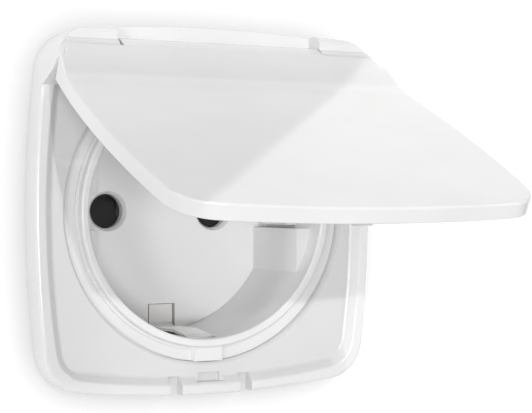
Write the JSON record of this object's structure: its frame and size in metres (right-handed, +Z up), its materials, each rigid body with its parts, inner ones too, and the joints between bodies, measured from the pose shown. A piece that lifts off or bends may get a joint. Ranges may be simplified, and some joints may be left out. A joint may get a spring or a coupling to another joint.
{
  "type": "flush earthed socket outlet with hinged lid",
  "caption": "Square flush-mounted earthed mains socket outlet with a round plug recess, a child-safety shutter and a hinged splash lid.",
  "frame": {"origin": "on the wall plane, on the axis of the round plug recess", "axes": "+Z up, +Y into the wall, +X to the right of a user who faces the socket"},
  "size_m": [0.0564, 0.0949, 0.0564],
  "materials": {
    "white_gloss": "white glossy moulded thermoplastic",
    "soft_seal": "pale grey soft elastomer",
    "black_plastic": "black moulded plastic",
    "grey_plastic": "dark grey heat-resistant plastic",
    "light_plastic": "light grey moulded plastic",
    "lever_orange": "orange moulded plastic",
    "zinc_steel": "zinc-plated steel sheet",
    "spring_steel": "bright spring steel",
    "nickel": "nickel-plated contact strip",
    "brass": "plain brass contact strip"
  },
  "bodies": {
    "housing": {"front_frame": "white_gloss", "socket_cup": "white_gloss", "cup_floor": "white_gloss", "wall_gasket": "soft_seal", "support_plate": "zinc_steel", "shutter_spring": "spring_steel", "shutter_guide": "light_plastic", "mechanism_base": "grey_plastic", "live_contact": "brass", "neutral_contact": "brass", "earth_clip_top": "nickel", "earth_clip_bottom": "nickel", "earth_bridge": "nickel", "live_terminal_cage": "zinc_steel", "neutral_terminal_cage": "zinc_steel", "earth_terminal_cage": "zinc_steel", "live_clamp_spring": "spring_steel", "neutral_clamp_spring": "spring_steel", "earth_clamp_spring": "spring_steel", "screw_left": "zinc_steel", "screw_right": "zinc_steel"},
    "lid": {"hinged_lid": "white_gloss", "lid_seal": "soft_seal", "hinge_pin": "spring_steel"},
    "shutter": {"shutter_slider": "black_plastic"},
    "live_lever": {"live_release_lever": "lever_orange"},
    "neutral_lever": {"neutral_release_lever": "lever_orange"},
    "earth_lever": {"earth_release_lever": "lever_orange"}
  },
  "joints": [
    {"name": "lid_hinge", "type": "hinge", "parent": "housing", "child": "lid", "pos_m": [0, -0.0078, 0.0229], "axis": [-1, 0, 0], "range_deg": [-65, 35]},
    {"name": "shutter_slide", "type": "slide", "parent": "housing", "child": "shutter", "axis": [0, 0, 1], "range_m": [0, 0.0064], "stiffness_N_per_m": 60, "springref_m": -0.004, "deforming": ["shutter_spring"]},
    {"name": "live_lever_push", "type": "slide", "parent": "housing", "child": "live_lever", "axis": [0, -1, 0], "range_m": [0, 0.0012], "stiffness_N_per_m": 300, "springref_m": -0.001},
    {"name": "neutral_lever_push", "type": "slide", "parent": "housing", "child": "neutral_lever", "axis": [0, -1, 0], "range_m": [0, 0.0012], "stiffness_N_per_m": 300, "springref_m": -0.001},
    {"name": "earth_lever_push", "type": "slide", "parent": "housing", "child": "earth_lever", "axis": [0, -1, 0], "range_m": [0, 0.0012], "stiffness_N_per_m": 300, "springref_m": -0.001}
  ]
}
